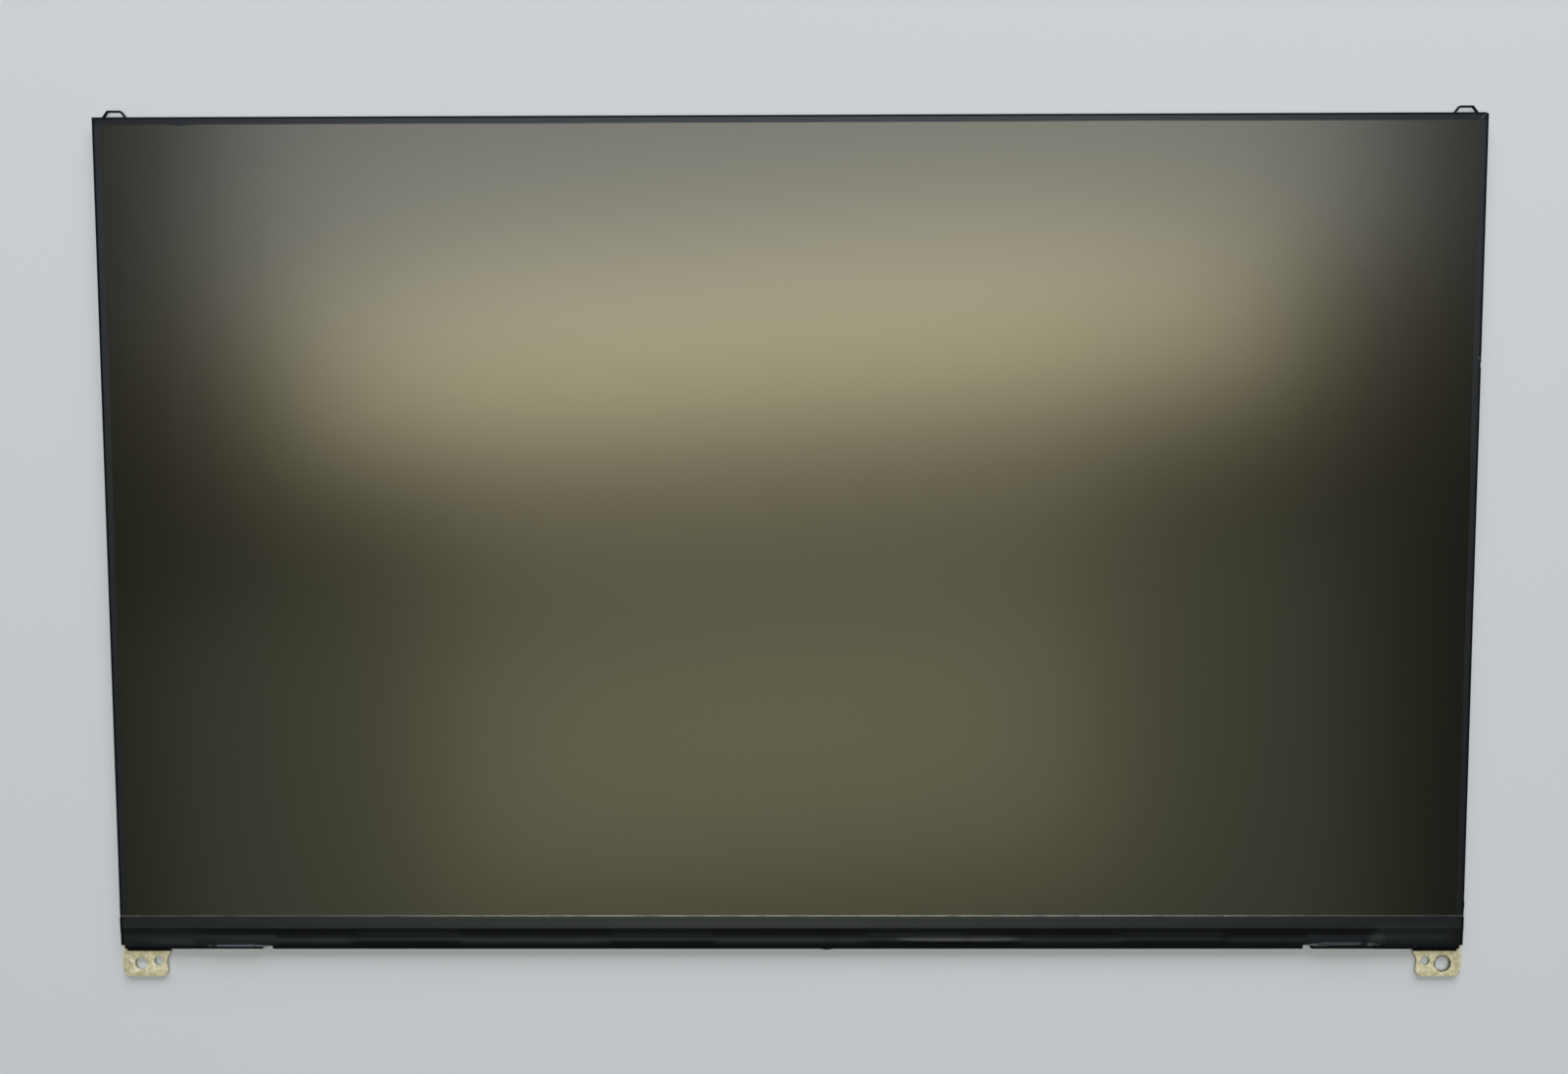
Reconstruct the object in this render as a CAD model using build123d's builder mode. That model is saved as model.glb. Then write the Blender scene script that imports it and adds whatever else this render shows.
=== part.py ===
"""A slim fourteen-inch laptop screen panel, lying on its back with the screen up.

+X runs along the screen, +Y up the screen and +Z out of its face, in millimetres. The origin
is in the middle of the box, on the plane that the panel rests on. Places up the screen are
measured from the panel's bottom edge, and places across it from its middle.
"""

import os

from build123d import *

# Outline
panel_width = 315.8
panel_height = 193.0
corner_cut = 0.7

# Layers, from the back to the front
bead_depth = 0.4
plate_thickness = 0.3
reflector_thickness = 0.1
guide_thickness = 0.55
diffuser_thickness = 0.1
prism_thickness = 0.12
sheet_play = 0.05
rim_tape_thickness = 0.06
rear_polariser_thickness = 0.12
glass_thickness = 0.3
front_polariser_thickness = 0.15
tape_thickness = 0.06

# Insets of the layers from the taped outline
glass_inset = 0.2
front_polariser_inset = 0.6
rear_polariser_inset = 0.8
rim_tape_inset = 0.6
sheet_gap = 0.15

# Lower edges of the layers
body_low = 0.95
filter_low = 5.5
front_polariser_low = 8.2
rear_polariser_low = 8.5
rim_tape_low = 10.4

# Back plate: rim walls and stiffening beads
bead_width = 6.0
bead_inset = 17.0
bead_low = 27.0
bead_corner = 12.0
bead_bar_pitch = 96.0
bead_chamfer = 0.2

# Moulded frame
frame_gap = 0.05
side_bar = 2.3
top_bar = 2.0
flange_thickness = 0.3
flange_gap = 0.04
rest_edge = 1.2
rest_gap = 0.2
lip_depth = 2.1

# Board pocket, open at the bottom edge between two corner blocks
left_block_wall = 0.15
right_block = 35.9
pocket_lap = 0.4
bar_depth = 1.1

# Control board
board_thickness = 0.4
board_depth = 9.1
part_room = 0.84
board_gap = 0.2
board_corner = 0.8

# Light strip
led_pitch = 7.25
led_width = 3.0
led_depth = 1.0
led_height = 0.5
led_gap = 0.1
strip_inset = 2.0
strip_depth = 2.1
strip_gap = 0.1
tail_x = 63.0
tail_width = 6.0
tail_length = 3.8
tail_grip = 1.8
tail_gap = 0.2
tail_lift = 0.04

# Light strip socket
led_socket_width = 8.4
led_socket_depth = 3.6
led_socket_chamfer = 0.7

# Display drivers on the glass, and the flexes that fold round to the board
link_count = 4
link_pitch = 60.0
flex_width = 30.0
flex_thickness = 0.05
flex_bond = 0.9
flex_lap = 1.2
flex_margin = 0.1
flex_to_glass = 0.25
flex_to_board = 0.15
chip_length = 22.0
chip_depth = 1.1
chip_height = 0.22
chip_gap = 0.2

# Video socket
socket_inset = 11.9
socket_low = 0.3
socket_width = 20.0
socket_depth = 4.2
socket_height = 1.0
shell_thickness = 0.1
shell_depth = 3.2
base_thickness = 0.25
tongue_thickness = 0.2
tongue_lift = 0.2
tongue_depth = 1.9
tongue_margin = 1.8
block_depth = 1.8
contact_count = 30
contact_pitch = 0.5
contact_width = 0.2
contact_thickness = 0.05
contact_set_back = 0.2
contact_riser = 0.6
contact_tail = 0.5

# Larger parts on the board: place along it, then width, depth and gap to the cover film
board_parts = {
    "timing_controller": (-55.0, 7.0, 6.6, 0.09),
    "memory_chip": (-66.0, 3.0, 2.0, 0.24),
    "power_chip": (-8.0, 4.0, 4.0, 0.09),
    "gamma_chip": (16.0, 5.0, 5.0, 0.09),
    "led_driver_chip": (45.0, 4.0, 4.0, 0.09),
    "rectifier_diode": (37.5, 2.5, 1.3, 0.04),
    "input_fuse": (-116.0, 1.6, 0.8, 0.39),
}
board_parts_row = 6.0
inductor_places = (-15.5, 53.0)
inductor_size = 4.0
inductor_chamfer = 0.5

# Small parts on the board, in banks
capacitor_banks = (-95.0, 90.0)
capacitor_columns = 6
capacitor_rows = 2
capacitor_pitch = 6.0
capacitor_row_gap = 3.0
capacitor_length = 1.6
capacitor_depth = 0.8
capacitor_gap = 0.04
resistor_banks = (-38.0, 0.0, 28.0)
resistor_columns = 4
resistor_rows = 2
resistor_pitch = 2.0
resistor_row_gap = 4.6
resistor_length = 1.0
resistor_depth = 0.5
resistor_height = 0.35

# Cover film over the board
film_gap = 0.1
film_lap = 2.9
film_side_lap = 4.4

# Edge tapes
side_tape_front = 1.7
side_tape_rear = 4.5
top_tape_front = 1.75
top_tape_rear = 4.5
tape_gap = 0.05

# Bottom tape: cut into flaps that fold over the bottom edge
bottom_tape_gap = 0.35
bottom_tape_lift = 0.02
bottom_tape_hang = 0.15
bottom_tape_step = 0.3
bottom_tape_bend = 0.8
bottom_tape_fold = 0.3
bottom_tape_notch = 0.9
bottom_tape_rear = 3.0
bottom_tape_foot = 0.95
bottom_tape_corner = 0.8
bottom_tape_cuff = 0.5
notch_width = 2.2
left_notch_inset = 33.6
right_notch_inset = 34.9
flap_gap = 0.2

# Lower brackets: a base under the frame, and a tab with two holes
bracket_thickness = 0.4
bracket_base_step = 0.7
bracket_base_depth = 9.0
bracket_gap = 0.05
tab_drop = 7.1
tab_reach = 0.2
tab_shoulder = 0.3
tab_flare = 1.5
tab_waist_cut = 0.8
tab_belly_cut = 0.6
tab_side = 0.5
tab_corner = 1.6
left_screw_hole = 3.0
right_screw_hole = 3.5
screw_hole_inset = 4.25
screw_hole_rise = 3.1
hole_spacing = 4.1
locating_hole = 2.2
locating_hole_margin = 2.8
locating_hole_rise = 3.7
rivet_inset = 6.3
rivet_rows = (2.6, 6.8)
rivet_diameter = 1.6
rivet_head = 2.8
rivet_head_height = 0.25
rivet_gap = 0.1

# Upper hooks: a strap trapped behind the rim, with a loop through it
hook_inset = 4.6
hook_rise = 1.7
hook_thickness = 0.4
hook_play = 0.04
hook_top = 3.0
hook_base = 6.1
hook_foot = 4.8
hook_bend = 0.35
hook_gap = 0.3

# Levels of the layers above the rest plane
plate_back = bead_depth
plate_front = plate_back + plate_thickness
guide_back = plate_front + reflector_thickness
guide_front = guide_back + guide_thickness
lower_prism_back = guide_front + diffuser_thickness
upper_prism_back = lower_prism_back + prism_thickness
upper_diffuser_back = upper_prism_back + prism_thickness
frame_front = upper_diffuser_back + diffuser_thickness + sheet_play
cell_back = frame_front + rim_tape_thickness
array_back = cell_back + rear_polariser_thickness
array_front = array_back + glass_thickness
filter_front = array_front + glass_thickness
screen_front = filter_front + front_polariser_thickness
flange_back = frame_front - flange_thickness
rim_front = flange_back - flange_gap
board_back = plate_back + part_room
board_front = board_back + board_thickness
tape_back = plate_back - tape_thickness
chip_front = array_front + chip_height
bracket_front = plate_front + bracket_thickness

# Half widths of the layers
panel_half = panel_width / 2
body_half = panel_half - tape_thickness
frame_half = body_half - plate_thickness - frame_gap
opening_half = frame_half - side_bar
sheet_half = opening_half - sheet_gap
strip_half = sheet_half - strip_inset

# Places up the screen
body_top = panel_height - tape_thickness
frame_top = body_top - plate_thickness - frame_gap
opening_top = frame_top - top_bar
sheet_high = opening_top - sheet_gap
top_tape_low = panel_height - top_tape_front
flex_high_line = array_front + flex_thickness / 2
flex_low_line = board_back - flex_thickness / 2
flex_radius = (flex_high_line - flex_low_line) / 2
flex_bend_at = tape_thickness + flex_margin + flex_thickness / 2 + flex_radius
array_low = flex_bend_at + flex_to_glass
board_low = flex_bend_at + flex_to_board
board_high = board_low + board_depth
bar_low = board_high + board_gap
bar_high = bar_low + bar_depth
pocket_high = bar_low + pocket_lap
led_low = bar_high + led_gap
guide_low = led_low + led_depth + led_gap
lip_high = bar_high + lip_depth
sheet_low = lip_high + strip_gap
strip_low = bar_high + strip_gap
strip_high = strip_low + strip_depth
reflector_low = strip_high + strip_gap
tail_end = strip_low - tail_length
bottom_y = tab_drop - (panel_height + tab_drop + hook_rise) / 2

# Places across the panel
tab_width = screw_hole_inset + hole_spacing + locating_hole_margin
tab_outer = panel_half + tab_reach
foot_inner = panel_half - tab_width
foot_outer = panel_half - bottom_tape_corner
bracket_base_inner = frame_half - tab_width + bracket_base_step
bracket_low = body_low - tab_shoulder
pocket_left = bracket_gap + left_block_wall - bracket_base_inner
pocket_right = frame_half - right_block
rivet_x = panel_half - rivet_inset
hook_x = panel_half - hook_inset
left_notch = left_notch_inset - panel_half
right_notch = panel_half - right_notch_inset
socket_x = pocket_left + socket_inset

pieces = {}


def level(height):
    """A plane at a height above the rest plane, with its local origin on the bottom edge."""
    return Plane((0, bottom_y, height))


def section(across):
    """A plane across the panel: local X runs up the screen and local Y is height."""
    return Plane(origin=(across, bottom_y, 0), x_dir=(0, 1, 0), z_dir=(1, 0, 0))


def span(left, right, low, high, mode=Mode.ADD):
    """A rectangle in the current sketch, given by its sides."""
    with Locations(((left + right) / 2, (low + high) / 2)):
        Rectangle(abs(right - left), abs(high - low), mode=mode)


def sheet(half_width, low, high, back, thickness, cut=0.0):
    """A flat sheet across the panel, with its two upper corners cut off where asked."""
    with BuildPart() as flat:
        with BuildSketch(level(back)) as outline:
            span(-half_width, half_width, low, high)
            if cut:
                chamfer(outline.vertices().group_by(Axis.Y)[-1], length=cut)
        extrude(amount=thickness)
    return flat


# Back plate: a shallow aluminium tray with a beaded floor, open over the board
rivet_places = [(side * rivet_x, row) for side in (-1, 1) for row in rivet_rows]
bead_ring_width = 2 * (body_half - bead_inset)
bead_ring_height = body_top - bead_inset - bead_low
bead_ring_middle = bead_low + bead_ring_height / 2
groove_width = bead_width - 2 * plate_thickness
rim_half = hook_x - hook_base / 2 - hook_gap
with BuildPart() as back_plate:
    with BuildSketch(level(plate_back)) as floor:
        span(-body_half, body_half, body_low, body_top)
        chamfer(floor.vertices().group_by(Axis.Y)[-1], length=corner_cut)
        span(pocket_left, pocket_right, body_low, pocket_high, mode=Mode.SUBTRACT)
    extrude(amount=plate_thickness)
    with BuildSketch(level(plate_back)):
        span(-rim_half, rim_half, body_top - plate_thickness, body_top)
        with GridLocations(2 * body_half - plate_thickness, 0, 2, 1):
            span(-plate_thickness / 2, plate_thickness / 2, body_low, body_top - corner_cut)
    extrude(amount=rim_front - plate_back)
    for width, back, mode in ((bead_width, 0, Mode.ADD), (groove_width, plate_thickness, Mode.SUBTRACT)):
        half = width / 2
        with BuildSketch(level(back)):
            with Locations((0, bead_ring_middle)):
                RectangleRounded(bead_ring_width + width, bead_ring_height + width, bead_corner + half)
                RectangleRounded(
                    bead_ring_width - width, bead_ring_height - width, bead_corner - half, mode=Mode.SUBTRACT
                )
                with GridLocations(bead_bar_pitch, 0, 2, 1):
                    Rectangle(width, bead_ring_height)
        extrude(amount=bead_depth, mode=mode)
    chamfer(back_plate.faces().sort_by(Axis.Z)[0].edges(), length=bead_chamfer)
    with BuildSketch(level(plate_back)):
        with Locations(*rivet_places):
            Circle(rivet_diameter / 2)
    extrude(amount=plate_thickness, mode=Mode.SUBTRACT)
pieces["back_plate"] = back_plate

# Moulded frame: a ring inside the rim, with the board's roof and the glass rest at its foot
hook_slot_inner = hook_x - hook_base / 2 - hook_foot - hook_gap
tail_slot_half = tail_width / 2 + tail_gap
bracket_slot_inner = bracket_base_inner - bracket_gap
bracket_slot_high = bracket_low + bracket_base_depth + bracket_gap
with BuildPart() as mid_frame:
    with BuildSketch(level(plate_front)) as ring:
        span(-frame_half, frame_half, body_low, frame_top)
        chamfer(ring.vertices().group_by(Axis.Y)[-1], length=corner_cut)
        span(-opening_half, opening_half, bar_high, opening_top, mode=Mode.SUBTRACT)
    extrude(amount=frame_front - plate_front)
    with BuildSketch(level(flange_back)) as flange:
        span(-body_half, body_half, body_low, body_top)
        chamfer(flange.vertices().group_by(Axis.Y)[-1], length=corner_cut)
        span(-opening_half, opening_half, lip_high, opening_top, mode=Mode.SUBTRACT)
    extrude(amount=flange_thickness)
    with BuildSketch(level(frame_front)):
        span(-frame_half, frame_half, rest_edge, rear_polariser_low - rest_gap)
    extrude(amount=array_back - frame_front)
    with BuildSketch(level(plate_front)):
        span(pocket_left, pocket_right, body_low, bar_low)
    extrude(amount=board_front - plate_front, mode=Mode.SUBTRACT)
    with BuildSketch(level(plate_front)):
        span(tail_x - tail_slot_half, tail_x + tail_slot_half, bar_low, bar_high)
    extrude(amount=reflector_thickness + tail_lift, mode=Mode.SUBTRACT)
    with BuildSketch(level(plate_front)):
        for side in (-1, 1):
            span(side * bracket_slot_inner, side * frame_half, body_low, bracket_slot_high)
    extrude(amount=bracket_thickness, mode=Mode.SUBTRACT)
    with BuildSketch(level(bracket_front)):
        with Locations(*rivet_places):
            Circle(rivet_head / 2 + rivet_gap)
    extrude(amount=rivet_head_height + rivet_gap, mode=Mode.SUBTRACT)
    with BuildSketch(level(plate_front)):
        for side in (-1, 1):
            span(side * hook_slot_inner, side * frame_half, frame_top - hook_thickness, frame_top)
    extrude(amount=flange_back - plate_front, mode=Mode.SUBTRACT)
pieces["mid_frame"] = mid_frame

# Light guide and its optical sheets, loose in the frame's opening
pieces["reflector_sheet"] = sheet(sheet_half, reflector_low, sheet_high, plate_front, reflector_thickness)
pieces["light_guide"] = sheet(sheet_half, guide_low, sheet_high, guide_back, guide_thickness)
pieces["lower_diffuser"] = sheet(sheet_half, sheet_low, sheet_high, guide_front, diffuser_thickness)
pieces["lower_prism_sheet"] = sheet(sheet_half, sheet_low, sheet_high, lower_prism_back, prism_thickness)
pieces["upper_prism_sheet"] = sheet(sheet_half, sheet_low, sheet_high, upper_prism_back, prism_thickness)
pieces["upper_diffuser"] = sheet(sheet_half, sheet_low, sheet_high, upper_diffuser_back, diffuser_thickness)

# Light strip: a flex along the guide's lower edge, with a tail to its socket on the board
with BuildPart() as led_strip:
    with BuildSketch(level(plate_front)):
        span(-strip_half, strip_half, strip_low, strip_high)
        span(tail_x - tail_width / 2, tail_x + tail_width / 2, tail_end, strip_low)
    extrude(amount=reflector_thickness)
pieces["led_strip"] = led_strip

with BuildPart() as leds:
    led_count = int(2 * strip_half / led_pitch)
    with BuildSketch(level(guide_back)):
        with Locations((0, led_low + led_depth / 2)):
            with GridLocations(led_pitch, 0, led_count, 1):
                Rectangle(led_width, led_depth)
    extrude(amount=led_height)
pieces["leds"] = leds

led_socket_half = led_socket_width / 2
led_socket_high = tail_end + tail_grip
led_socket_low = led_socket_high - led_socket_depth
with BuildPart() as led_socket:
    with BuildSketch(level(plate_back)):
        span(tail_x - led_socket_half, tail_x + led_socket_half, led_socket_low, led_socket_high)
    extrude(amount=part_room)
    with BuildSketch(level(plate_front)):
        span(tail_x - tail_width / 2, tail_x + tail_width / 2, tail_end, led_socket_high)
    extrude(amount=reflector_thickness, mode=Mode.SUBTRACT)
    chamfer(led_socket.edges().filter_by(Axis.Z).group_by(Axis.Y)[0], length=led_socket_chamfer)
pieces["led_socket"] = led_socket

# Rim tape: a frame of double-sided tape that holds the glass to the moulded frame
rim_tape_half = body_half - rim_tape_inset
with BuildPart() as rim_tape:
    with BuildSketch(level(frame_front)):
        span(-rim_tape_half, rim_tape_half, rim_tape_low, body_top - rim_tape_inset)
        span(-sheet_half, sheet_half, sheet_low, sheet_high, mode=Mode.SUBTRACT)
    extrude(amount=rim_tape_thickness)
pieces["rim_tape"] = rim_tape

# Display cell: two glasses between two polarisers
glass_half = body_half - glass_inset
glass_top = body_top - glass_inset
pieces["rear_polariser"] = sheet(
    body_half - rear_polariser_inset,
    rear_polariser_low,
    body_top - rear_polariser_inset,
    cell_back,
    rear_polariser_thickness,
)
pieces["array_glass"] = sheet(glass_half, array_low, glass_top, array_back, glass_thickness, corner_cut)
pieces["filter_glass"] = sheet(glass_half, filter_low, glass_top, array_front, glass_thickness, corner_cut)
pieces["front_polariser"] = sheet(
    body_half - front_polariser_inset,
    front_polariser_low,
    body_top - front_polariser_inset,
    filter_front,
    front_polariser_thickness,
    corner_cut,
)

# Link flexes: from the glass ledge, round the bottom edge, to the back of the board
with BuildPart() as link_flexes:
    for index in range(link_count):
        link_middle = (index - (link_count - 1) / 2) * link_pitch
        with BuildSketch(section(link_middle - flex_width / 2)):
            with BuildLine():
                upper_leg = Line((array_low + flex_bond, flex_high_line), (flex_bend_at, flex_high_line))
                bend_middle = (flex_bend_at - flex_radius, (flex_high_line + flex_low_line) / 2)
                ThreePointArc(upper_leg @ 1, bend_middle, (flex_bend_at, flex_low_line))
                Line((flex_bend_at, flex_low_line), (board_low + flex_lap, flex_low_line))
            trace(line_width=flex_thickness)
        extrude(amount=flex_width)
pieces["link_flexes"] = link_flexes

with BuildPart() as driver_chips:
    chip_middle = array_low + flex_bond + chip_gap + chip_depth / 2
    with BuildSketch(level(array_front)):
        with Locations((0, chip_middle)):
            with GridLocations(link_pitch, 0, link_count, 1):
                Rectangle(chip_length, chip_depth)
    extrude(amount=chip_height)
pieces["driver_chips"] = driver_chips

# Control board under the frame's roof, with its parts on its back
with BuildPart() as control_board:
    with BuildSketch(level(board_back)) as board_outline:
        span(pocket_left + board_gap, pocket_right - board_gap, board_low, board_high)
        chamfer(board_outline.vertices(), length=board_corner)
    extrude(amount=board_thickness)
pieces["control_board"] = control_board

for name, (across, width, depth, film_clearance) in board_parts.items():
    with BuildPart() as board_part:
        with BuildSketch(level(board_back)):
            with Locations((across, board_parts_row)):
                Rectangle(width, depth)
        extrude(amount=film_clearance - part_room)
    pieces[name] = board_part

with BuildPart() as inductors:
    with BuildSketch(level(board_back)):
        with Locations(*[(across, board_parts_row) for across in inductor_places]):
            Rectangle(inductor_size, inductor_size)
    extrude(amount=-part_room)
    chamfer(inductors.edges().filter_by(Axis.Z), length=inductor_chamfer)
pieces["inductors"] = inductors

with BuildPart() as capacitors:
    with BuildSketch(level(board_back)):
        with Locations(*[(across, board_parts_row) for across in capacitor_banks]):
            with GridLocations(capacitor_pitch, capacitor_row_gap, capacitor_columns, capacitor_rows):
                Rectangle(capacitor_length, capacitor_depth)
    extrude(amount=capacitor_gap - part_room)
pieces["capacitors"] = capacitors

with BuildPart() as resistors:
    with BuildSketch(level(board_back)):
        with Locations(*[(across, board_parts_row) for across in resistor_banks]):
            with GridLocations(resistor_pitch, resistor_row_gap, resistor_columns, resistor_rows):
                Rectangle(resistor_length, resistor_depth)
    extrude(amount=-resistor_height)
pieces["resistors"] = resistors

# Video socket: contacts on a tongue, in a moulded body under a bent shell, open downwards
socket_half = socket_width / 2
socket_body_half = socket_half - shell_thickness
tongue_half = socket_body_half - tongue_margin
socket_back = board_back - socket_height
socket_high = socket_low + socket_depth
block_low = socket_high - block_depth
tongue_front = board_back - base_thickness - tongue_lift
tongue_back = tongue_front - tongue_thickness
contact_span = (contact_count - 1) * contact_pitch
contact_places = [socket_x - contact_span / 2 + index * contact_pitch for index in range(contact_count)]


def contact_profile():
    """One contact in the current section: along the tongue, through the block and out behind it."""
    riser_low = block_low + contact_riser
    blade_back = tongue_back - contact_thickness
    span(block_low - tongue_depth + contact_set_back, riser_low, blade_back, tongue_back)
    span(riser_low, riser_low + contact_thickness, blade_back, board_back)
    span(riser_low, socket_high + contact_tail, board_back - contact_thickness, board_back)


with BuildPart() as video_socket_body:
    with BuildSketch(level(board_back)):
        span(socket_x - socket_body_half, socket_x + socket_body_half, socket_low, socket_high)
    extrude(amount=-base_thickness)
    with BuildSketch(level(board_back)):
        span(socket_x - socket_body_half, socket_x + socket_body_half, block_low, socket_high)
    extrude(amount=shell_thickness - socket_height)
    with BuildSketch(level(tongue_front)):
        span(socket_x - tongue_half, socket_x + tongue_half, block_low - tongue_depth, block_low)
    extrude(amount=-tongue_thickness)
    for place in contact_places:
        with BuildSketch(section(place - contact_width / 2)):
            contact_profile()
        extrude(amount=contact_width, mode=Mode.SUBTRACT)
pieces["video_socket_body"] = video_socket_body

with BuildPart() as video_socket_shell:
    with BuildSketch(level(socket_back)):
        span(socket_x - socket_half, socket_x + socket_half, socket_low, socket_low + shell_depth)
    extrude(amount=shell_thickness)
    with BuildSketch(level(socket_back)):
        for side in (-1, 1):
            shell_outer = socket_x + side * socket_half
            span(shell_outer, shell_outer - side * shell_thickness, socket_low, socket_low + shell_depth)
    extrude(amount=socket_height)
pieces["video_socket_shell"] = video_socket_shell

with BuildPart() as video_socket_contacts:
    for place in contact_places:
        with BuildSketch(section(place - contact_width / 2)):
            contact_profile()
        extrude(amount=contact_width)
pieces["video_socket_contacts"] = video_socket_contacts

# Cover film: from the back plate down over the board, clear of the video socket
with BuildPart() as board_cover:
    film_left = left_notch + notch_width
    with BuildSketch(level(tape_back)):
        span(film_left, pocket_right + film_side_lap, bottom_tape_rear + film_gap, pocket_high + film_lap)
    extrude(amount=tape_thickness)
pieces["board_cover"] = board_cover

# Side tapes: folded from the screen's edge round to the back
side_tape_top = top_tape_low - tape_gap
for name, side in (("left_edge_tape", -1), ("right_edge_tape", 1)):
    outer = side * panel_half
    inner = side * body_half
    with BuildPart() as edge_tape:
        with BuildSketch(level(tape_back)):
            span(outer, side * (panel_half - side_tape_rear), body_low, side_tape_top)
        extrude(amount=tape_thickness)
        with BuildSketch(level(tape_back)):
            span(outer, inner, array_low, side_tape_top)
        extrude(amount=array_front - tape_back)
        with BuildSketch(level(array_front)):
            span(outer, inner, front_polariser_low, side_tape_top)
        extrude(amount=screen_front - array_front)
        with BuildSketch(level(screen_front)):
            span(outer, side * (panel_half - side_tape_front), front_polariser_low, side_tape_top)
        extrude(amount=tape_thickness)
    pieces[name] = edge_tape

# Top tape: wraps the top edge and both upper corners, and is slit for the two hooks
hook_height = flange_back - plate_front - hook_play
slit_half = hook_base / 2 + hook_gap
rear_half = panel_half - side_tape_rear - tape_gap
with BuildPart() as top_edge_tape:
    with BuildSketch(level(tape_back)) as wrap:
        span(-panel_half, panel_half, top_tape_low, panel_height)
        chamfer(wrap.vertices().group_by(Axis.Y)[-1], length=corner_cut)
    extrude(amount=screen_front + tape_thickness - tape_back)
    with BuildSketch(level(plate_back)) as inside:
        span(-body_half, body_half, top_tape_low - top_tape_front, body_top)
        chamfer(inside.vertices().group_by(Axis.Y)[-1], length=corner_cut)
    extrude(amount=screen_front - plate_back, mode=Mode.SUBTRACT)
    with BuildSketch(level(tape_back)):
        span(-rear_half, rear_half, panel_height - top_tape_rear, top_tape_low)
    extrude(amount=tape_thickness)
    with BuildSketch(level(plate_front)):
        with GridLocations(2 * hook_x, 0, 2, 1):
            span(-slit_half, slit_half, body_top - corner_cut, panel_height)
    extrude(amount=hook_height, mode=Mode.SUBTRACT)
pieces["top_edge_tape"] = top_edge_tape

# Bottom tape: over the glass ledge, then cut into flaps that fold round the bottom edge
tape_half = tape_thickness / 2
front_line = filter_front + tape_half
ledge_line = chip_front + bottom_tape_lift + tape_half
rear_line = plate_back - tape_half
foot_line = bracket_front + tape_half
step_low = filter_low - bottom_tape_hang - bottom_tape_step
front_points = [
    (front_polariser_low - bottom_tape_gap, front_line),
    (filter_low - bottom_tape_hang, front_line),
    (step_low, ledge_line),
]
front_radii = [bottom_tape_hang, bottom_tape_hang]
edge_points = front_points + [(tape_half, ledge_line)]
edge_radii = front_radii + [bottom_tape_bend]
fold_radii = edge_radii + [bottom_tape_fold]
front_strip = (front_points + [(bottom_tape_notch, ledge_line)], front_radii)
wrapped_flap = (edge_points + [(tape_half, rear_line), (bottom_tape_rear, rear_line)], fold_radii)
footed_flap = (edge_points + [(tape_half, foot_line), (-bottom_tape_foot, foot_line)], fold_radii)
short_flap = (edge_points + [(tape_half, frame_front - bottom_tape_cuff)], edge_radii)
flaps = (
    (-panel_half, panel_half, front_strip),
    (-foot_outer, -foot_inner, footed_flap),
    (flap_gap - foot_inner, left_notch, short_flap),
    (left_notch + notch_width, right_notch - notch_width, wrapped_flap),
    (right_notch, foot_inner - flap_gap, wrapped_flap),
    (foot_inner, foot_outer, footed_flap),
)
with BuildPart() as bottom_tape:
    for left, right, (points, radii) in flaps:
        with BuildSketch(section(left)):
            with BuildLine():
                FilletPolyline(*points, radius=radii)
            trace(line_width=tape_thickness)
        extrude(amount=right - left)
pieces["bottom_tape"] = bottom_tape

# Lower brackets: stamped steel, with a screw hole and a smaller locating hole in each tab
tab_waist = tab_width - tab_waist_cut
tab_belly = tab_width - tab_belly_cut
side_drop = tab_drop - tab_corner
belly_drop = side_drop - tab_side
waist_drop = (tab_flare + belly_drop) / 2


def tab_point(side, inset, drop):
    """A point on a tab, in from its outer side and down from the panel's bottom edge."""
    return (side * (tab_outer - inset), -drop)


for name, side, screw_hole in (
    ("lower_bracket_left", -1, left_screw_hole),
    ("lower_bracket_right", 1, right_screw_hole),
):
    root_outer = tab_point(side, 0, -bracket_low)
    side_outer = tab_point(side, 0, side_drop)
    end_outer = tab_point(side, tab_corner, tab_drop)
    end_inner = tab_point(side, tab_belly - tab_corner, tab_drop)
    side_inner = tab_point(side, tab_belly, side_drop)
    belly = tab_point(side, tab_belly, belly_drop)
    waist = tab_point(side, tab_waist, waist_drop)
    flare = tab_point(side, tab_width, tab_flare)
    root_inner = tab_point(side, tab_width, -bracket_low)
    with BuildPart() as bracket:
        with BuildSketch(level(plate_front)):
            span(side * bracket_base_inner, side * frame_half, bracket_low, bracket_low + bracket_base_depth)
            with BuildLine():
                Line(root_outer, side_outer)
                RadiusArc(side_outer, end_outer, side * tab_corner)
                Line(end_outer, end_inner)
                RadiusArc(end_inner, side_inner, side * tab_corner)
                Line(side_inner, belly)
                ThreePointArc(belly, waist, flare)
                Polyline(flare, root_inner, root_outer)
            make_face()
        extrude(amount=bracket_thickness)
        with BuildSketch(level(plate_front)):
            with Locations(tab_point(side, screw_hole_inset, tab_drop - screw_hole_rise)):
                Circle(screw_hole / 2)
            with Locations(tab_point(side, screw_hole_inset + hole_spacing, tab_drop - locating_hole_rise)):
                Circle(locating_hole / 2)
            with Locations(*[(side * rivet_x, row) for row in rivet_rows]):
                Circle(rivet_diameter / 2)
        extrude(amount=bracket_thickness, mode=Mode.SUBTRACT)
    pieces[name] = bracket

# Rivets: through the plate and the brackets, headed on both sides
with BuildPart() as bracket_rivets:
    for radius, back, height in (
        (rivet_diameter / 2, plate_back, bracket_front - plate_back),
        (rivet_head / 2, bracket_front, rivet_head_height),
        (rivet_head / 2, plate_back - rivet_head_height, rivet_head_height),
    ):
        with BuildSketch(level(back)):
            with Locations(*rivet_places):
                Circle(radius)
        extrude(amount=height)
pieces["bracket_rivets"] = bracket_rivets

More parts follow.
